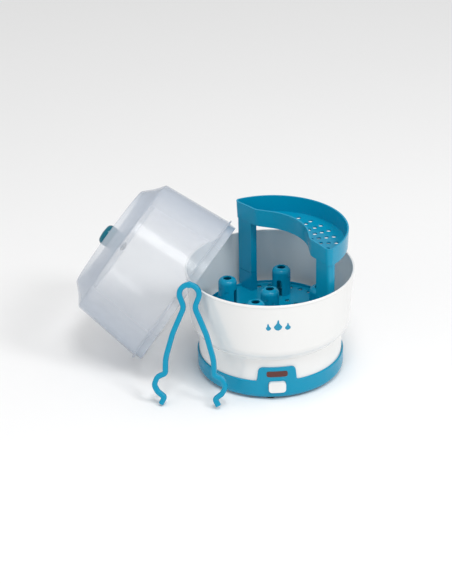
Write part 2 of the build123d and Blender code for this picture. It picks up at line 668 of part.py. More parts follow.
# ---- accessory tray ----------------------------------------------------------------------------
def tray_outline():
    """Crescent in its own frame: middle of the crescent towards +X, one lobe each side."""
    far = -2 * TRAY_RADIUS
    bite = make_face([
        ThreePointArc((ARCH_SIDE, -ARCH_HALF), (ARCH_DEEP, 0), (ARCH_SIDE, ARCH_HALF)),
        Polyline(
            (ARCH_SIDE, ARCH_HALF), LOBE_SIDE, LOBE_END, (far, LOBE_END[1]), (far, -LOBE_END[1]),
            (LOBE_END[0], -LOBE_END[1]), (LOBE_SIDE[0], -LOBE_SIDE[1]), (ARCH_SIDE, -ARCH_HALF),
        ),
    ])
    face = Pos(TRAY_SHIFT, 0) * Circle(TRAY_RADIUS) - bite
    tips = face.vertices().sort_by(Axis.Y)
    face = fillet([tips[0], tips[-1]], LOBE_ROUND)
    inner = [v for v in face.vertices() if abs(abs(v.Y) - LOBE_SIDE[1]) < 0.1 and v.X < ARCH_DEEP]
    face = fillet(inner, LOBE_BEND)
    inner = [v for v in face.vertices() if abs(abs(v.Y) - ARCH_HALF) < 0.1 and v.X < ARCH_DEEP]
    return fillet(inner, ARCH_BEND)


def leg_column(side, inset, low, high):
    """Column under one end of the tray, its cross-section set back by inset."""
    lobe = Pos((LEG_DEEP - 20) / 2, side * (LEG_SPAN[0] + LEG_SPAN[1]) / 2)
    window = lobe * Rectangle(LEG_DEEP + 20, LEG_SPAN[1] - LEG_SPAN[0])
    section = offset(tray_outline(), amount=-LEG_SETBACK) & window
    if inset > 0:
        section = offset(section, amount=-inset, kind=Kind.INTERSECTION)
    return Rot(0, 0, TRAY_TURN) * extrude(Plane.XY.offset(low) * section, high - low)


def leg_centre(side):
    x = (LOBE_SIDE[0] + LEG_DEEP) / 2 - 2
    y = side * (LEG_SPAN[0] + LEG_SPAN[1]) / 2
    return x, y


def tray_leg(side):
    top = TRAY_TOP - TRAY_DEEP
    inset = LEG_WALL + FIT_GAP
    leg = leg_column(side, 0.0, SEAM_HEIGHT + SEAM_GAP, top)
    leg += leg_column(side, inset, SEAM_HEIGHT - SPIGOT_DROP, SEAM_HEIGHT + 2)
    leg -= leg_column(side, inset + LEG_WALL, SEAM_HEIGHT - SPIGOT_DROP - 1, top - LEG_WALL)
    x, y = leg_centre(side)
    tenon = Pos(x, y, top + (TRAY_FLOOR + TENON[2]) / 2) * Box(TENON[0], TENON[1], TRAY_FLOOR + TENON[2])
    return leg + Rot(0, 0, TRAY_TURN) * tenon


def accessory_tray():
    top = TRAY_TOP
    low = top - TRAY_DEEP
    outline = tray_outline()
    tray = extrude(Plane.XY.offset(top) * outline, -TRAY_DEEP, taper=TRAY_DRAFT)
    hollow = offset(outline, amount=-TRAY_WALL)
    tray -= extrude(Plane.XY.offset(top) * hollow, -(TRAY_DEEP - TRAY_FLOOR), taper=TRAY_DRAFT)
    middle = offset(outline, amount=-TRAY_HOLE - 4.5)
    holes = []
    for row in TRAY_HOLE_ROWS:
        for step in range(-6, 7):
            x, y = around(row, step * TRAY_HOLE_STEP)
            near_leg = LEG_SPAN[0] - 4 < abs(y) < LEG_SPAN[1] and x < LEG_DEEP + 4
            if not near_leg and middle.is_inside(Vector(x, y, 0)):
                holes.append(Pos(x, y, low) * Cylinder(TRAY_HOLE, 8))
    for side in (-1, 1):
        x, y = leg_centre(side)
        holes.append(Pos(x, y, low) * Box(TENON[0] + 0.3, TENON[1] + 0.3, 8))
    return Rot(0, 0, TRAY_TURN) * (tray - holes)


# ---- lid ---------------------------------------------------------------------------------------
def plug_radius():
    """Outside of the skirt that drops into the bowl."""
    return bowl_wall_radius(RIM_HEIGHT - LIP_HEIGHT) - WALL - LID_PLUG_GAP


def lid_edges(spot):
    """Points all round the flange's two edges and the end of the skirt, for a lid at this plane."""
    half = LID_FLANGE_THICK / 2
    points = []
    for radius, level in ((LID_FLANGE, -half), (LID_FLANGE, half), (plug_radius(), -LID_SKIRT - half)):
        for angle in range(360):
            x, y = around(radius, angle)
            points.append(spot.from_local_coords(Vector(x, y, level)))
    return points


def gap_to_bowl(point):
    """How far a point is from the outside of the bowl, less than 0 where it is inside."""
    outwards = hypot(point.X, point.Y) - RIM_RADIUS
    if point.Z > RIM_HEIGHT:
        return hypot(outwards, point.Z - RIM_HEIGHT)
    return outwards


def lid_frame():
    """Plane at the middle of the lid's flange, its normal along the lid's axis towards the crown."""
    lean = radians(LID_LEAN)
    heading = radians(LID_HEADING)
    axis = Vector(cos(lean) * cos(heading), cos(lean) * sin(heading), sin(lean))
    rest = LID_FLANGE * cos(lean) + sin(lean) * LID_FLANGE_THICK / 2 + 0.05
    level_side = Vector(-sin(heading), cos(heading), 0)
    near, far = 0.0, 2 * (RIM_RADIUS + LID_FLANGE)
    while far - near > 0.0001:
        middle = (near + far) / 2
        x, y = around(middle, LID_PLACE)
        spot = Plane(origin=(x, y, rest), x_dir=level_side, z_dir=axis)
        if min(gap_to_bowl(point) for point in lid_edges(spot)) < LID_GAP:
            near = middle
        else:
            far = middle
    return spot


def lid_shell():
    plug = plug_radius()
    half = LID_FLANGE_THICK / 2
    shoulder = plug + 1.4 - SHOULDER_TAPER
    slope = (CROWN_HEIGHT - SHOULDER_HEIGHT) / (shoulder - CROWN_RADIUS)
    middle = (shoulder + CROWN_RADIUS) / 2 - 1.2
    sag = SHOULDER_HEIGHT + slope * (shoulder - middle) - 2.2
    shell = turned(
        (plug - 0.4, -LID_SKIRT - half),
        (plug, -half),
        (LID_FLANGE, -half, 0.8),
        (LID_FLANGE, half, 0.8),
        (plug + 1.4, half, 1.0),
        (shoulder, SHOULDER_HEIGHT, 4.0),
        (middle, sag, 60.0),
        (CROWN_RADIUS, CROWN_HEIGHT, 1.4),
        (CROWN_RADIUS - CROWN_RIM, CROWN_HEIGHT, 1.0),
        (RECESS_RADIUS, RECESS_HEIGHT, 3.0),
        (0, RECESS_HEIGHT),
        (0, RECESS_HEIGHT - LID_WALL),
        (RECESS_RADIUS + 2.6, RECESS_HEIGHT - LID_WALL, 2.0),
        (CROWN_RADIUS + 0.4, CROWN_HEIGHT - 3.2, 0.8),
        (middle - 0.6, sag - 2.4, 60.0),
        (shoulder - 2.4, SHOULDER_HEIGHT - 1.4, 3.0),
        (plug - 0.6, half),
        (plug - 0.4 - LID_WALL, -LID_SKIRT - half),
    )
    shell -= rod(SCREW_PASS + 0.5, RECESS_HEIGHT - 5, RECESS_HEIGHT + 5)
    for side in (-1, 0, 1):
        x, y = around(RECESS_RADIUS - 16, 180 + side * 9)
        vent = Rot(0, 0, side * 9) * Box(3, 8, 10)
        shell -= Pos(x, y, RECESS_HEIGHT) * vent
    return lid_frame().location * shell


def lid_knob():
    low = RECESS_HEIGHT
    knob = turned(
        (0, low),
        (KNOB_BASE, low, 0.6),
        (KNOB_BASE, low + 3, 1.2),
        (KNOB_TOP - 2.5, low + 10, 7.0),
        (KNOB_TOP, low + 20, 6.0),
        (KNOB_TOP, low + KNOB_HEIGHT - 2, 7.0),
        (0, low + KNOB_HEIGHT),
    )
    knob -= rod(SCREW_HOLE + 0.5, low, low + 16)
    return lid_frame().location * knob


def knob_washer():
    low = RECESS_HEIGHT - LID_WALL
    return lid_frame().location * tube(7, SCREW_PASS + 0.6, low - 1, low)


def knob_screw():
    seat = RECESS_HEIGHT - LID_WALL - 1
    head = turned((0, seat - 2.4), (4.4, seat - 2.4, 1.2), (4.4, seat), (0, seat))
    head -= Pos(0, 0, seat - 2.4) * Box(5, 1, 1.6)
    head -= Pos(0, 0, seat - 2.4) * Box(1, 5, 1.6)
    return lid_frame().location * (head + rod(SCREW_CORE + 0.5, seat - 0.5, seat + 15))


# ---- tongs -------------------------------------------------------------------------------------
def tongs_frame():
    """Plane of the tongs: feet at y = 0, bow at y = TONGS_LENGTH, leaning back on the rim."""
    lean = radians(TONGS_LEAN)
    heading = radians(TONGS_HEADING)
    across = Vector(cos(heading), -sin(heading), 0)
    back = Vector(sin(heading), cos(heading), 0)
    up = back * sin(lean) + Vector(0, 0, cos(lean))
    normal = across.cross(up)
    tilt = radians(TONGS_TILT)
    along = up * cos(tilt) - across * sin(tilt)
    reach = RIM_RADIUS + BAR_DEEP / 2 + TONGS_STANDOFF
    bow_x, bow_y = around(reach, TONGS_PLACE)
    tip = ARM_LINE[-1][0]
    foot = TIP_CUT + BAR_DEEP / 2 * sin(lean) + (tip + BAR_WIDE / 2) * sin(tilt)
    bow = Vector(bow_x, bow_y, foot + TONGS_LENGTH * cos(lean))
    return Plane(origin=bow - along * TONGS_LENGTH, x_dir=along.cross(normal), z_dir=normal)


def tongs_path(side):
    """Centre line of one arm, from the middle of the bow to the tip."""
    height = TONGS_LENGTH - BOW_RADIUS
    bow = ThreePointArc(
        (0, TONGS_LENGTH),
        (side * BOW_RADIUS * sin(radians(52)), height + BOW_RADIUS * cos(radians(52))),
        (side * BOW_RADIUS * sin(radians(104)), height + BOW_RADIUS * cos(radians(104))),
    )
    points = [bow @ 1] + [(side * wide, tall) for wide, tall, bend in ARM_LINE]
    arm = FilletPolyline(*points, radius=[bend for wide, tall, bend in ARM_LINE[:-1]])
    return bow, arm


def tongs_arm(side):
    bow, arm = tongs_path(side)
    section = RectangleRounded(BAR_WIDE, BAR_DEEP, BAR_ROUND)
    profile = Plane(origin=bow @ 0, x_dir=(0, 1, 0), z_dir=bow % 0) * section
    bar = sweep(profile, path=bow)
    start = Plane(origin=arm @ 0, x_dir=Vector(0, 0, 1).cross(arm % 0), z_dir=arm % 0)
    return bar + sweep(start * section, path=arm)


def knuckle(radius):
    return Pos(0, TONGS_LENGTH, 0) * Cylinder(radius, BAR_DEEP)


def tongs_left():
    return tongs_frame().location * (tongs_arm(-1) + knuckle(BAR_WIDE / 2))


def tongs_right():
    gap = Pos(0, TONGS_LENGTH, 0) * Cylinder(BAR_WIDE / 2 + KNUCKLE_GAP, BAR_DEEP * 2)
    return tongs_frame().location * (tongs_arm(1) - gap)


# ---- output ------------------------------------------------------------------------------------
PIECES = {
    "bowl_body": bowl_body,
    "base_ring": base_ring,
    "bottom_cover": bottom_cover,
    "rubber_feet": rubber_feet,
    "base_screws": base_screws,
    "cord_gland": cord_gland,
    "switch_button": switch_button,
    "switch_body": switch_body,
    "switch_spring": switch_spring,
    "indicator_lens": indicator_lens,
    "indicator_lamp": indicator_lamp,
    "heating_plate": heating_plate,
    "plate_seal": plate_seal,
    "plate_retainer": plate_retainer,
    "retainer_screws": retainer_screws,
    "heating_element": heating_element,
    "element_clamp": element_clamp,
    "clamp_nut": clamp_nut,
    "thermostat": thermostat,
    "thermal_fuse": thermal_fuse,
    "fuse_clip": fuse_clip,
    "terminal_block": terminal_block,
    "terminal_screws": terminal_screws,
    "wiring": wiring,
    "bottle_rack": bottle_rack,
    "tray_leg_left": lambda: tray_leg(1),
    "tray_leg_right": lambda: tray_leg(-1),
    "accessory_tray": accessory_tray,
    "lid_shell": lid_shell,
    "lid_knob": lid_knob,
    "knob_washer": knob_washer,
    "knob_screw": knob_screw,
    "tongs_left": tongs_left,
    "tongs_right": tongs_right,
}


def write_piece(name, shape):
    solids = shape if isinstance(shape, list) else [shape]
    body = Compound(children=[solid for part in solids for solid in part.solids()])
    body.label = name
    export_step(body, f"parts/{name}.step")


os.makedirs("parts", exist_ok=True)
for piece_name, make_piece in PIECES.items():
    write_piece(piece_name, make_piece())
frame = lid_frame()
print("lid centre", frame.origin, "axis", frame.z_dir)
hinge = tongs_frame()
print("tongs bow", hinge.from_local_coords(Vector(0, TONGS_LENGTH, 0)), "normal", hinge.z_dir)
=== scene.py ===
import json
from math import atan2, cos, radians, sin

import bpy
from bpy.props import FloatProperty, FloatVectorProperty, IntProperty, PointerProperty
from mathutils import Matrix, Vector


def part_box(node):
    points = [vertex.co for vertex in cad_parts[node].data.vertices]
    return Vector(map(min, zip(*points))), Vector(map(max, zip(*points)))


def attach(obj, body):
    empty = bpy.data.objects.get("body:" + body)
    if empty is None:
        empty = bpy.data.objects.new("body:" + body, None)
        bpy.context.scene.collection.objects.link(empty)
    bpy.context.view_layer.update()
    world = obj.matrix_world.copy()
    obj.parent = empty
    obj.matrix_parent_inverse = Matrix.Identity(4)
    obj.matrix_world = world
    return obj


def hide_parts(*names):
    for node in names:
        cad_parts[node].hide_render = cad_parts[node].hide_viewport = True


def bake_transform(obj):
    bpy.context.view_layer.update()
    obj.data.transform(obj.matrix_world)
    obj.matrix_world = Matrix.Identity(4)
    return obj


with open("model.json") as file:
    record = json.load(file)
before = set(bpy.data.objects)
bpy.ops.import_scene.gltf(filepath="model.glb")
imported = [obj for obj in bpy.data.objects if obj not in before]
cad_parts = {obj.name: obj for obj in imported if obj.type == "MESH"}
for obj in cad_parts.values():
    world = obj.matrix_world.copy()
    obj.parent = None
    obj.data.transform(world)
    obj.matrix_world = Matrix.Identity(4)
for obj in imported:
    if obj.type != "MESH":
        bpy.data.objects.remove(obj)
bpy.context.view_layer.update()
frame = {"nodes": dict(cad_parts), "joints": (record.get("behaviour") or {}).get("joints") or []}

bl_info = {
    "name": "Bottle Sterilizer Finishes",
    "version": (1, 0, 0),
    "blender": (4, 5, 0),
    "location": "3D View > Sidebar > Sterilizer",
    "description": "Finishes, one-piece tongs, printed drops and studio for the bottle sterilizer",
    "category": "Object",
}

NODES = frame["nodes"]
MM = 0.001
PLUG_RADIUS = 4.3 * MM  # fills the cut between the two halves of the tongs
PLUG_LENGTH = 8.4 * MM
DROPS = ((0.0, 122.0, 1.0), (-15.0, 120.0, 0.66), (15.0, 120.0, 0.66))  # across, height, share
DROP_WIDTH = 0.34  # radius of a drop's round end as a share of its height
DROP_CRESTS = 8  # steps in which a drop's top is drawn out to a point
LIGHTS = (  # name, place, aim, size, power
    ("Key Softbox", (1.5, -1.1, 2.0), (0, 0, 0.08), 0.7, 18),
    ("Left Softbox", (-1.8, -1.2, 1.3), (0, 0, 0.10), 0.9, 4),
    ("Top Softbox", (0.2, -1.1, 2.7), (0, 0, 0.10), 0.9, 24),
)
ROOM_LIGHT = 0.62
CAMERA_PLACE = (0.0, -2.4959, 1.4334)
CAMERA_PITCH = radians(27.82)  # below the horizon
CAMERA_YAW = radians(-1.42)
CAMERA_ROLL = radians(-1.12)


# ---- settings ----------------------------------------------------------------------------------
class SterilizerColours(bpy.types.PropertyGroup):
    teal: FloatVectorProperty(
        name="Teal", description="Moulded base, rack, tray, knob and tongs",
        subtype="COLOR", size=3, min=0, max=1, default=(0.0, 0.30, 0.49),
    )
    # The knob's darker teal is painted shade: the same teal plastic, darkened to stand for the shade on the
    # knob's side away from the light.
    knob_painted_shade_teal: FloatVectorProperty(
        name="Knob teal, painted shade", description="Knob of the lid",
        subtype="COLOR", size=3, min=0, max=1, default=(0.0, 0.15, 0.22),
    )
    white: FloatVectorProperty(
        name="White", description="Glossy bowl and power button",
        subtype="COLOR", size=3, min=0, max=1, default=(0.86, 0.86, 0.85),
    )
    frost: FloatVectorProperty(
        name="Frosted lid", description="Tint of the translucent lid",
        subtype="COLOR", size=3, min=0, max=1, default=(0.80, 0.84, 0.90),
    )
    lens: FloatVectorProperty(
        name="Indicator lens", description="Red lens in front of the lamp",
        subtype="COLOR", size=3, min=0, max=1, default=(0.16, 0.016, 0.008),
    )
    drops: FloatVectorProperty(
        name="Printed drops", description="Ink of the drops on the front of the bowl",
        subtype="COLOR", size=3, min=0, max=1, default=(0.0, 0.30, 0.50),
    )


class SterilizerSizes(bpy.types.PropertyGroup):
    tongs_grid: FloatProperty(
        name="Tongs grid", description="Cell size when the two halves of the tongs become one piece",
        subtype="DISTANCE", unit="LENGTH", min=0.0003, max=0.002, default=0.00055,
    )
    tongs_smooth: IntProperty(
        name="Tongs smoothing", description="Smoothing passes along the bar", min=0, max=30, default=6,
    )
    bow_reach: FloatProperty(
        name="Bow reach", description="Half the width of the bow, over which it bends",
        subtype="DISTANCE", unit="LENGTH", min=0.005, max=0.03, default=0.015,
    )
    drop_tall: FloatProperty(
        name="Drop height", description="Height of the largest printed drop",
        subtype="DISTANCE", unit="LENGTH", min=0.004, max=0.03, default=0.018,
    )
    ink_thick: FloatProperty(
        name="Ink thickness", description="How far the printed drops stand out",
        subtype="DISTANCE", unit="LENGTH", min=0.00002, max=0.0005, default=0.00012,
    )
    camera_lens: FloatProperty(
        name="Camera lens", description="Focal length on a 36 mm sensor", unit="CAMERA", default=123.29,
    )


# ---- working with objects ----------------------------------------------------------------------
def deselect():
    if bpy.context.mode != "OBJECT":
        bpy.ops.object.mode_set(mode="OBJECT")
    bpy.ops.object.select_all(action="DESELECT")


def activate(piece):
    deselect()
    piece.select_set(True)
    bpy.context.view_layer.objects.active = piece
    return piece


def new_piece(name):
    """Names the object that an operator has just added, and makes it the only one selected."""
    piece = bpy.context.active_object
    piece.name = name
    piece.data.name = name
    return activate(piece)


def select_above(piece, height):
    """Selects the vertices higher than this and leaves the piece in edit mode."""
    bpy.ops.object.mode_set(mode="EDIT")
    bpy.ops.mesh.select_mode(type="VERT")
    bpy.ops.mesh.select_all(action="DESELECT")
    bpy.ops.object.mode_set(mode="OBJECT")
    for vertex in piece.data.vertices:
        vertex.select = vertex.co.z > height
    bpy.ops.object.mode_set(mode="EDIT")


def copy_node(node, name):
    """A free copy of a CAD node with its loose triangles joined."""
    piece = bpy.data.objects.new(name, NODES[node].data.copy())
    bpy.context.scene.collection.objects.link(piece)
    activate(piece)
    bpy.ops.object.mode_set(mode="EDIT")
    bpy.ops.mesh.select_all(action="SELECT")
    bpy.ops.mesh.remove_doubles(threshold=0.01 * MM)
    bpy.ops.object.mode_set(mode="OBJECT")
    return piece


def apply_modifier(piece, kind, **values):
    modifier = piece.modifiers.new(kind.title(), kind)
    for key, value in values.items():
        setattr(modifier, key, value)
    activate(piece)
    bpy.ops.object.modifier_apply(modifier=modifier.name)


def settle(piece):
    """Moves the piece's place into its mesh."""
    activate(piece)
    bpy.ops.object.transform_apply(location=True, rotation=True, scale=True)


def finish_with(material, *names):
    for name in names:
        piece = NODES[name] if name in NODES else bpy.data.objects[name]
        piece.data.materials.clear()
        piece.data.materials.append(material)


# ---- shader groups -----------------------------------------------------------------------------
def socket(tree, name, kind, way, value=None, low=None, high=None):
    made = tree.interface.new_socket(name=name, in_out=way, socket_type=kind)
    if value is not None:
        made.default_value = value
    if low is not None:
        made.min_value = low
        made.max_value = high
    return made


def join(tree, *pairs):
    for source, target in pairs:
        tree.links.new(source, target)


def math_node(tree, operation, first, second, clamp=False):
    node = tree.nodes.new("ShaderNodeMath")
    node.operation = operation
    node.use_clamp = clamp
    for place, value in enumerate((first, second)):
        if isinstance(value, (int, float)):
            node.inputs[place].default_value = value
        else:
            tree.links.new(value, node.inputs[place])
    return node.outputs[0]


def noise(tree, vector, scale, detail=3.0, roughness=0.5):
    node = tree.nodes.new("ShaderNodeTexNoise")
    node.inputs["Detail"].default_value = detail
    node.inputs["Roughness"].default_value = roughness
    if isinstance(scale, (int, float)):
        node.inputs["Scale"].default_value = scale
    else:
        tree.links.new(scale, node.inputs["Scale"])
    tree.links.new(vector, node.inputs["Vector"])
    return node.outputs["Fac"]


def group_start(name):
    tree = bpy.data.node_groups.new(name, "ShaderNodeTree")
    source = tree.nodes.new("NodeGroupInput")
    target = tree.nodes.new("NodeGroupOutput")
    return tree, source, target


def moulded_skin():
    """Fine orange peel, cloudy colour and uneven gloss of an injection moulding."""
    name = "Moulded Skin"
    if name in bpy.data.node_groups:
        return bpy.data.node_groups[name]
    tree, source, target = group_start(name)
    socket(tree, "Vector", "NodeSocketVector", "INPUT")
    socket(tree, "Colour", "NodeSocketColor", "INPUT", (0.8, 0.8, 0.8, 1))
    socket(tree, "Shade Colour", "NodeSocketColor", "INPUT", (0.7, 0.7, 0.7, 1))
    socket(tree, "Gloss Roughness", "NodeSocketFloat", "INPUT", 0.25, 0, 1)
    socket(tree, "Unevenness", "NodeSocketFloat", "INPUT", 0.08, 0, 1)
    socket(tree, "Peel Scale", "NodeSocketFloat", "INPUT", 700.0, 1, 5000)
    socket(tree, "Colour", "NodeSocketColor", "OUTPUT")
    socket(tree, "Roughness", "NodeSocketFloat", "OUTPUT")
    socket(tree, "Height", "NodeSocketFloat", "OUTPUT")
    cloud = noise(tree, source.outputs["Vector"], 14.0, 4.0)
    flow = noise(tree, source.outputs["Vector"], 60.0, 2.0)
    peel = noise(tree, source.outputs["Vector"], source.outputs["Peel Scale"], 2.0)
    mix = tree.nodes.new("ShaderNodeMix")
    mix.data_type = "RGBA"
    join(
        tree,
        (cloud, mix.inputs["Factor"]),
        (source.outputs["Colour"], mix.inputs["A"]),
        (source.outputs["Shade Colour"], mix.inputs["B"]),
        (mix.outputs["Result"], target.inputs["Colour"]),
    )
    centred = math_node(tree, "SUBTRACT", flow, 0.5)
    swing = math_node(tree, "MULTIPLY", centred, source.outputs["Unevenness"])
    rough = math_node(tree, "ADD", source.outputs["Gloss Roughness"], swing, clamp=True)
    broad = math_node(tree, "MULTIPLY", flow, 0.6)
    fine = math_node(tree, "MULTIPLY", peel, 0.4)
    height = math_node(tree, "ADD", broad, fine)
    join(tree, (rough, target.inputs["Roughness"]), (height, target.inputs["Height"]))
    return tree


def brushed_metal():
    """Long fine scratches along one axis, with a faint tint that follows them."""
    name = "Brushed Metal"
    if name in bpy.data.node_groups:
        return bpy.data.node_groups[name]
    tree, source, target = group_start(name)
    socket(tree, "Vector", "NodeSocketVector", "INPUT")
    socket(tree, "Colour", "NodeSocketColor", "INPUT", (0.6, 0.6, 0.6, 1))
    socket(tree, "Dark Colour", "NodeSocketColor", "INPUT", (0.4, 0.4, 0.4, 1))
    socket(tree, "Base Roughness", "NodeSocketFloat", "INPUT", 0.3, 0, 1)
    socket(tree, "Colour", "NodeSocketColor", "OUTPUT")
    socket(tree, "Roughness", "NodeSocketFloat", "OUTPUT")
    socket(tree, "Height", "NodeSocketFloat", "OUTPUT")
    stretch = tree.nodes.new("ShaderNodeMapping")
    stretch.inputs["Scale"].default_value = (40.0, 1200.0, 1200.0)
    join(tree, (source.outputs["Vector"], stretch.inputs["Vector"]))
    lines = noise(tree, stretch.outputs["Vector"], 1.0, 3.0, 0.6)
    cloud = noise(tree, source.outputs["Vector"], 45.0, 3.0)
    mix = tree.nodes.new("ShaderNodeMix")
    mix.data_type = "RGBA"
    blended = math_node(tree, "MULTIPLY", lines, cloud)
    scratched = math_node(tree, "MULTIPLY", lines, 0.18)
    rough = math_node(tree, "ADD", source.outputs["Base Roughness"], scratched, clamp=True)
    join(
        tree,
        (blended, mix.inputs["Factor"]),
        (source.outputs["Colour"], mix.inputs["A"]),
        (source.outputs["Dark Colour"], mix.inputs["B"]),
        (mix.outputs["Result"], target.inputs["Colour"]),
        (rough, target.inputs["Roughness"]),
        (lines, target.inputs["Height"]),
    )
    return tree


def water_spots():
    """Mask of small dried droplets, as steam leaves on a lid."""
    name = "Water Spots"
    if name in bpy.data.node_groups:
        return bpy.data.node_groups[name]
    tree, source, target = group_start(name)
    socket(tree, "Vector", "NodeSocketVector", "INPUT")
    socket(tree, "Spot Scale", "NodeSocketFloat", "INPUT", 160.0, 1, 2000)
    socket(tree, "Mask", "NodeSocketFloat", "OUTPUT")
    cells = tree.nodes.new("ShaderNodeTexVoronoi")
    edge = tree.nodes.new("ShaderNodeMapRange")
    edge.inputs["From Min"].default_value = 0.12
    edge.inputs["From Max"].default_value = 0.30
    edge.inputs["To Min"].default_value = 1.0
    edge.inputs["To Max"].default_value = 0.0
    patch = noise(tree, source.outputs["Vector"], 22.0, 2.0)
    where = tree.nodes.new("ShaderNodeMapRange")
    where.inputs["From Min"].default_value = 0.5
    where.inputs["From Max"].default_value = 0.62
    join(
        tree,
        (source.outputs["Vector"], cells.inputs["Vector"]),
        (source.outputs["Spot Scale"], cells.inputs["Scale"]),
        (cells.outputs["Distance"], edge.inputs["Value"]),
        (patch, where.inputs["Value"]),
    )
    mask = math_node(tree, "MULTIPLY", edge.outputs["Result"], where.outputs["Result"], clamp=True)
    join(tree, (mask, target.inputs["Mask"]))
    return tree


# ---- materials ---------------------------------------------------------------------------------
def shaded(colour, share):
    return tuple(channel * share for channel in colour) + (1.0,)


def start_material(name):
    material = bpy.data.materials.new(name)
    material.use_nodes = True
    tree = material.node_tree
    surface = tree.nodes["Principled BSDF"]
    place = tree.nodes.new("ShaderNodeTexCoord")
    return material, tree, surface, place.outputs["Object"]


def add_bump(tree, surface, height, strength, distance):
    bump = tree.nodes.new("ShaderNodeBump")
    bump.inputs["Strength"].default_value = strength
    bump.inputs["Distance"].default_value = distance
    join(tree, (height, bump.inputs["Height"]), (bump.outputs["Normal"], surface.inputs["Normal"]))


def plastic(name, colour, roughness, peel=700.0, bump=0.12, unevenness=0.10, shade=0.90):
    material, tree, surface, place = start_material(name)
    skin = tree.nodes.new("ShaderNodeGroup")
    skin.node_tree = moulded_skin()
    skin.inputs["Colour"].default_value = shaded(colour, 1.0)
    skin.inputs["Shade Colour"].default_value = shaded(colour, shade)
    skin.inputs["Gloss Roughness"].default_value = roughness
    skin.inputs["Unevenness"].default_value = unevenness
    skin.inputs["Peel Scale"].default_value = peel
    join(
        tree,
        (place, skin.inputs["Vector"]),
        (skin.outputs["Colour"], surface.inputs["Base Color"]),
        (skin.outputs["Roughness"], surface.inputs["Roughness"]),
    )
    add_bump(tree, surface, skin.outputs["Height"], bump, 0.05 * MM)
    return material, tree, surface, place


def metal(name, colour, dark, roughness):
    material, tree, surface, place = start_material(name)
    brushed = tree.nodes.new("ShaderNodeGroup")
    brushed.node_tree = brushed_metal()
    brushed.inputs["Colour"].default_value = colour + (1.0,)
    brushed.inputs["Dark Colour"].default_value = dark + (1.0,)
    brushed.inputs["Base Roughness"].default_value = roughness
    surface.inputs["Metallic"].default_value = 1.0
    join(
        tree,
        (place, brushed.inputs["Vector"]),
        (brushed.outputs["Colour"], surface.inputs["Base Color"]),
        (brushed.outputs["Roughness"], surface.inputs["Roughness"]),
    )
    add_bump(tree, surface, brushed.outputs["Height"], 0.25, 0.03 * MM)
    return material


def teal_plastic(colours, with_painted_shade=False):
    # With the flag set, the teal is the knob's darker copy, which is painted shade.
    name = "Teal Moulding, Painted Shade" if with_painted_shade else "Teal Moulding"
    material = bpy.data.materials.get(name)
    if material is None:
        colour = tuple(colours.knob_painted_shade_teal if with_painted_shade else colours.teal)
        material, _, surface, _ = plastic(name, colour, 0.22, unevenness=0.05, shade=0.95)
        surface.inputs["Specular IOR Level"].default_value = 0.30
    return material


def white_plastic(colours):
    material = bpy.data.materials.get("White Gloss Moulding")
    if material is None:
        material, _, surface, _ = plastic(
            "White Gloss Moulding", tuple(colours.white), 0.16, peel=420.0, bump=0.08, shade=0.975
        )
        surface.inputs["Coat Weight"].default_value = 0.45
        surface.inputs["Coat Roughness"].default_value = 0.05
    return material


def frosted_plastic(colours):
    """Milky see-through moulding: clearer where it faces the eye, denser where it turns away, its colour
    darkened towards the edges as painted shade.
    """
    material, tree, surface, place = plastic(
        "Frosted Moulding", tuple(colours.frost), 0.24, peel=900.0, bump=0.12, unevenness=0.12, shade=0.96
    )
    skin = next(node for node in tree.nodes if node.type == "GROUP")
    spots = tree.nodes.new("ShaderNodeGroup")
    spots.node_tree = water_spots()
    spots.inputs["Spot Scale"].default_value = 150.0
    rough = math_node(tree, "MULTIPLY", spots.outputs["Mask"], -0.10)
    rough = math_node(tree, "ADD", rough, skin.outputs["Roughness"], clamp=True)
    surface.inputs["Coat Weight"].default_value = 0.6
    surface.inputs["Coat Roughness"].default_value = 0.07
    facing = tree.nodes.new("ShaderNodeLayerWeight")
    facing.inputs["Blend"].default_value = 0.35
    milk = tree.nodes.new("ShaderNodeMapRange")
    milk.inputs["From Min"].default_value = 0.0
    milk.inputs["From Max"].default_value = 0.9
    milk.inputs["To Min"].default_value = 0.17
    milk.inputs["To Max"].default_value = 0.92
    # Painted shade: where the lid turns away from the eye its colour is mixed towards a darker blue-grey.
    painted_edge_shade = tree.nodes.new("ShaderNodeMix")
    painted_edge_shade.data_type = "RGBA"
    painted_edge_shade.inputs["B"].default_value = (0.30, 0.38, 0.50, 1.0)
    join(
        tree,
        (place, spots.inputs["Vector"]),
        (rough, surface.inputs["Roughness"]),
        (facing.outputs["Facing"], milk.inputs["Value"]),
        (milk.outputs["Result"], surface.inputs["Alpha"]),
        (facing.outputs["Facing"], painted_edge_shade.inputs["Factor"]),
        (skin.outputs["Colour"], painted_edge_shade.inputs["A"]),
        (painted_edge_shade.outputs["Result"], surface.inputs["Base Color"]),
    )
    return material


# ---- operators ---------------------------------------------------------------------------------
class STERILIZER_OT_white_shell(bpy.types.Operator):
    """Gives the bowl and the power button their glossy white finish"""

    bl_idname = "sterilizer.white_shell"
    bl_label = "White Shell"

    def execute(self, context):
        finish_with(white_plastic(context.scene.sterilizer_colours), "bowl_body", "switch_button")
        return {"FINISHED"}


class STERILIZER_OT_teal_mouldings(bpy.types.Operator):
    """Gives the base, rack, tray, legs and knob their teal finish"""

    bl_idname = "sterilizer.teal_mouldings"
    bl_label = "Teal Mouldings"

    def execute(self, context):
        colours = context.scene.sterilizer_colours
        finish_with(teal_plastic(colours), "base_ring", "bottom_cover", "bottle_rack")
        finish_with(teal_plastic(colours), "accessory_tray", "tray_leg_left", "tray_leg_right")
        # The knob gets the darker teal, which is painted shade.
        finish_with(teal_plastic(colours, with_painted_shade=True), "lid_knob")
        return {"FINISHED"}


class STERILIZER_OT_frosted_lid(bpy.types.Operator):
    """Gives the lid its frosted, see-through finish"""

    bl_idname = "sterilizer.frosted_lid"
    bl_label = "Frosted Lid"

    def execute(self, context):
        finish_with(frosted_plastic(context.scene.sterilizer_colours), "lid_shell")
        return {"FINISHED"}


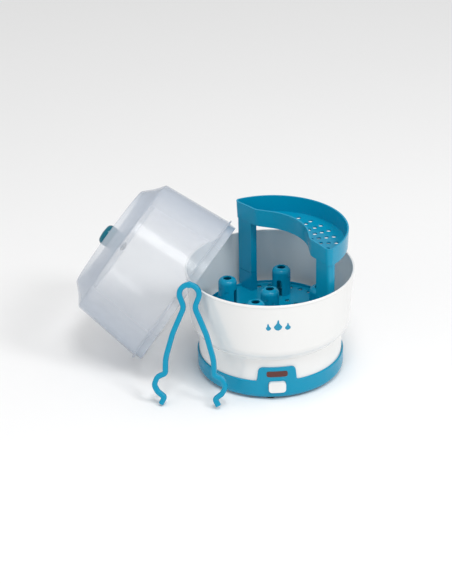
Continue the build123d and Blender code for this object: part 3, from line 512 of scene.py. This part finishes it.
class STERILIZER_OT_heater(bpy.types.Operator):
    """Finishes the heating plate, its element and the parts that hold them"""

    bl_idname = "sterilizer.heater"
    bl_label = "Heater"

    def execute(self, context):
        steel = metal("Brushed Stainless", (0.62, 0.63, 0.64), (0.42, 0.43, 0.44), 0.26)
        zinc = metal("Zinc Plate", (0.56, 0.57, 0.59), (0.38, 0.38, 0.40), 0.34)
        sheath = metal("Heat Tinted Sheath", (0.34, 0.31, 0.28), (0.16, 0.14, 0.16), 0.45)
        brass = metal("Turned Brass", (0.72, 0.50, 0.20), (0.48, 0.30, 0.10), 0.30)
        finish_with(steel, "heating_plate")
        finish_with(zinc, "plate_retainer", "retainer_screws", "base_screws", "element_clamp", "clamp_nut")
        finish_with(zinc, "thermal_fuse", "fuse_clip", "switch_spring", "knob_screw")
        finish_with(sheath, "heating_element")
        finish_with(brass, "terminal_screws")
        return {"FINISHED"}


class STERILIZER_OT_small_mouldings(bpy.types.Operator):
    """Finishes the rubber, silicone and insulating pieces"""

    bl_idname = "sterilizer.small_mouldings"
    bl_label = "Rubber and Insulation"

    def execute(self, context):
        black = plastic("Black Moulding", (0.018, 0.019, 0.021), 0.42, bump=0.3, shade=0.7)[0]
        rubber = plastic("Soft Rubber", (0.045, 0.048, 0.052), 0.72, peel=1500.0, bump=0.5, shade=0.75)[0]
        silicone = plastic("Silicone", (0.70, 0.71, 0.71), 0.50, bump=0.2, shade=0.92)[0]
        phenolic = plastic("Brown Phenolic", (0.030, 0.016, 0.010), 0.38, bump=0.3, shade=0.6)[0]
        nylon = plastic("Natural Nylon", (0.76, 0.72, 0.62), 0.45, bump=0.2, shade=0.92)[0]
        sleeve = plastic("Lead Sleeve", (0.68, 0.64, 0.55), 0.60, peel=2500.0, bump=0.8, shade=0.85)[0]
        finish_with(black, "cord_gland", "switch_body")
        finish_with(rubber, "rubber_feet")
        finish_with(silicone, "plate_seal", "knob_washer")
        finish_with(phenolic, "thermostat")
        finish_with(nylon, "terminal_block")
        finish_with(sleeve, "wiring")
        return {"FINISHED"}


class STERILIZER_OT_indicator(bpy.types.Operator):
    """Finishes the red indicator lens and the lamp behind it"""

    bl_idname = "sterilizer.indicator"
    bl_label = "Indicator"

    def execute(self, context):
        colours = context.scene.sterilizer_colours
        lens, tree, surface, place = plastic("Red Lens", tuple(colours.lens), 0.12, bump=0.1, shade=0.45)
        surface.inputs["Transmission Weight"].default_value = 0.20
        surface.inputs["Coat Weight"].default_value = 0.3
        bars = tree.nodes.new("ShaderNodeTexWave")
        bars.bands_direction = "X"
        bars.inputs["Scale"].default_value = 260.0
        bars.inputs["Distortion"].default_value = 0.0
        add_bump(tree, surface, bars.outputs["Fac"], 0.5, 0.12 * MM)
        join(tree, (place, bars.inputs["Vector"]))
        lamp = plastic("Lamp Glass", (0.80, 0.52, 0.35), 0.10, bump=0.05, shade=0.8)
        lamp[2].inputs["Transmission Weight"].default_value = 0.6
        finish_with(lens, "indicator_lens")
        finish_with(lamp[0], "indicator_lamp")
        return {"FINISHED"}


class STERILIZER_OT_tongs(bpy.types.Operator):
    """Joins the two halves of the tongs into one springy piece"""

    bl_idname = "sterilizer.tongs"
    bl_label = "Tongs"

    def execute(self, context):
        sizes = context.scene.sterilizer_sizes
        hinge = next(joint for joint in frame["joints"] if joint["name"] == "tongs_squeeze")
        place = Vector(hinge["pos_m"])
        axis = Vector(hinge["axis"])
        halves = [copy_node("tongs_left", "tongs_bar"), copy_node("tongs_right", "tongs_other_arm")]
        deselect()
        bpy.ops.mesh.primitive_cylinder_add(
            vertices=64, radius=PLUG_RADIUS, depth=PLUG_LENGTH, location=place,
            rotation=axis.to_track_quat("Z", "Y").to_euler(),
        )
        plug = new_piece("tongs_plug")
        settle(plug)
        deselect()
        for piece in halves + [plug]:
            piece.select_set(True)
        context.view_layer.objects.active = halves[0]
        bpy.ops.object.join()
        bar = new_piece("tongs_bar")
        apply_modifier(bar, "REMESH", mode="VOXEL", voxel_size=sizes.tongs_grid)
        apply_modifier(bar, "SMOOTH", factor=0.5, iterations=sizes.tongs_smooth)
        activate(bar)
        bpy.ops.object.shade_smooth()
        finish_with(teal_plastic(context.scene.sterilizer_colours), "tongs_bar")
        span = axis.cross(Vector((0, 0, 1))).normalized() * sizes.bow_reach
        if span.x > 0:
            span.negate()
        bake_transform(bar)
        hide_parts("tongs_left", "tongs_right")
        return {"FINISHED"}


class STERILIZER_OT_drops(bpy.types.Operator):
    """Prints three plain water drops on the front of the bowl"""

    bl_idname = "sterilizer.drops"
    bl_label = "Printed Drops"

    def execute(self, context):
        sizes = context.scene.sterilizer_sizes
        low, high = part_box("switch_button")
        turn = atan2((low[0] + high[0]) / 2, -(low[1] + high[1]) / 2)
        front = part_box("bowl_body")[0][1] - 10 * MM
        drops = []
        for across, height, share in DROPS:
            radius = sizes.drop_tall * share * DROP_WIDTH
            deselect()
            bpy.ops.mesh.primitive_circle_add(
                vertices=48, radius=radius, fill_type="TRIFAN", rotation=(radians(90), 0, 0),
                location=(across * MM, front, height * MM),
            )
            drop = new_piece(f"printed_drop_{len(drops) + 1}")
            settle(drop)
            crest = height * MM + radius * 0.05
            for step in range(DROP_CRESTS):
                select_above(drop, crest)
                bpy.ops.transform.resize(value=(0.90, 1, 1.11), center_override=(across * MM, front, crest))
                crest += radius * 0.13
            bpy.ops.mesh.select_all(action="SELECT")
            bpy.ops.mesh.subdivide(number_cuts=5)
            bpy.ops.object.mode_set(mode="OBJECT")
            drops.append(drop)
        deselect()
        for drop in drops:
            drop.select_set(True)
        context.view_layer.objects.active = drops[0]
        bpy.ops.object.join()
        printed = new_piece("printed_drops")
        printed.rotation_euler = (0, 0, turn)
        settle(printed)
        apply_modifier(
            printed, "SHRINKWRAP", target=NODES["bowl_body"], wrap_method="NEAREST_SURFACEPOINT",
            wrap_mode="ABOVE_SURFACE", offset=sizes.ink_thick,
        )
        apply_modifier(printed, "SOLIDIFY", thickness=sizes.ink_thick * 1.6, offset=0)
        ink = plastic("Printing Ink", tuple(context.scene.sterilizer_colours.drops), 0.30, bump=0.1)[0]
        finish_with(ink, "printed_drops")
        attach(printed, "root")
        return {"FINISHED"}


def area_light(name, place, aim, size, power):
    light = bpy.data.lights.new(name, "AREA")
    light.shape = "DISK"
    light.size = size
    light.energy = power
    lamp = bpy.data.objects.new(name, light)
    bpy.context.scene.collection.objects.link(lamp)
    lamp.location = place
    lamp.rotation_euler = (Vector(aim) - Vector(place)).to_track_quat("-Z", "Y").to_euler()


class STERILIZER_OT_stage(bpy.types.Operator):
    """Adds the pale floor, soft studio lights and the camera"""

    bl_idname = "sterilizer.stage"
    bl_label = "Stage"

    def execute(self, context):
        deselect()
        bpy.ops.mesh.primitive_plane_add(size=14, location=(0, 0, 0))
        floor = new_piece("studio_floor")
        material, tree, surface, place = start_material("Pale Floor")
        surface.inputs["Roughness"].default_value = 0.9
        surface.inputs["Specular IOR Level"].default_value = 0.1
        cloud = noise(tree, place, 2.0, 2.0)
        tone = tree.nodes.new("ShaderNodeMapRange")
        tone.inputs["To Min"].default_value = 0.93
        tone.inputs["To Max"].default_value = 0.95
        join(tree, (cloud, tone.inputs["Value"]), (tone.outputs["Result"], surface.inputs["Base Color"]))
        floor.data.materials.append(material)

        world = bpy.data.worlds.new("Soft Room")
        world.use_nodes = True
        world.node_tree.nodes["Background"].inputs["Color"].default_value = (1, 1, 1, 1)
        world.node_tree.nodes["Background"].inputs["Strength"].default_value = ROOM_LIGHT
        context.scene.world = world
        for name, spot, aim, size, power in LIGHTS:
            area_light(name, spot, aim, size, power)

        pitch, yaw, roll = CAMERA_PITCH, CAMERA_YAW, CAMERA_ROLL
        ahead = Vector((sin(yaw) * cos(pitch), cos(yaw) * cos(pitch), -sin(pitch)))
        right = Vector((cos(yaw), -sin(yaw), 0))
        up = right.cross(ahead)
        side = right * cos(roll) + up * sin(roll)
        top = up * cos(roll) - right * sin(roll)
        context.scene.view_settings.view_transform = "Standard"
        camera = bpy.data.cameras.new("Product Camera")
        camera.lens = context.scene.sterilizer_sizes.camera_lens
        camera.sensor_width = 36.0
        camera.clip_end = 50.0
        eye = bpy.data.objects.new("Product Camera", camera)
        context.scene.collection.objects.link(eye)
        turn = Matrix((side, top, -ahead)).transposed().to_4x4()
        eye.matrix_world = Matrix.Translation(CAMERA_PLACE) @ turn
        context.scene.camera = eye
        return {"FINISHED"}


# ---- panel and registration --------------------------------------------------------------------
STEPS = (
    STERILIZER_OT_white_shell,
    STERILIZER_OT_teal_mouldings,
    STERILIZER_OT_frosted_lid,
    STERILIZER_OT_heater,
    STERILIZER_OT_small_mouldings,
    STERILIZER_OT_indicator,
    STERILIZER_OT_tongs,
    STERILIZER_OT_drops,
    STERILIZER_OT_stage,
)


class STERILIZER_PT_tools(bpy.types.Panel):
    bl_idname = "STERILIZER_PT_tools"
    bl_label = "Bottle Sterilizer"
    bl_space_type = "VIEW_3D"
    bl_region_type = "UI"
    bl_category = "Sterilizer"

    def draw(self, context):
        column = self.layout.column()
        for group in (context.scene.sterilizer_colours, context.scene.sterilizer_sizes):
            for name in group.__annotations__:
                column.prop(group, name)
        for step in STEPS:
            column.operator(step.bl_idname)


CLASSES = (SterilizerColours, SterilizerSizes) + STEPS + (STERILIZER_PT_tools,)


def register():
    for cls in CLASSES:
        bpy.utils.register_class(cls)
    bpy.types.Scene.sterilizer_colours = PointerProperty(type=SterilizerColours)
    bpy.types.Scene.sterilizer_sizes = PointerProperty(type=SterilizerSizes)


def unregister():
    del bpy.types.Scene.sterilizer_sizes
    del bpy.types.Scene.sterilizer_colours
    for cls in reversed(CLASSES):
        bpy.utils.unregister_class(cls)


def main():
    register()
    for step in STEPS:
        group, name = step.bl_idname.split(".")
        getattr(getattr(bpy.ops, group), name)()


if __name__ == "__main__":
    main()
